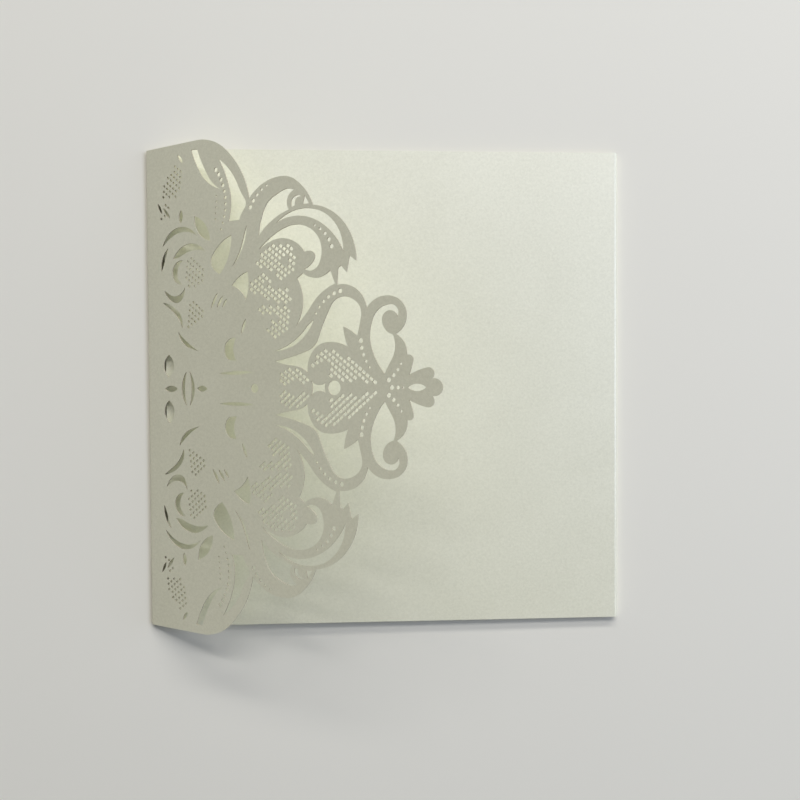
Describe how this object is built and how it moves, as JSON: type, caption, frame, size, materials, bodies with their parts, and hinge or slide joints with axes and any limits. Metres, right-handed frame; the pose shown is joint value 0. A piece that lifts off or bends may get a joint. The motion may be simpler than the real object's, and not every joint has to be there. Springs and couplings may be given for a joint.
{
  "type": "wedding invitation card",
  "caption": "Square folded invitation card of ivory pearl paper with a plain front panel and a laser-cut lace flap sprung open from its left crease.",
  "frame": {"origin": "middle of the card's outline, on the surface it lies on, under the back panel", "axes": "+X across the card from the lace flap's crease to the soft fold, +Y up the card, +Z out of its face"},
  "size_m": [0.15, 0.15, 0.0483],
  "materials": {
    "pearl_paper": "ivory pearl card with a soft shimmer"
  },
  "bodies": {
    "root": {"folded_card": "pearl_paper"}
  },
  "joints": []
}
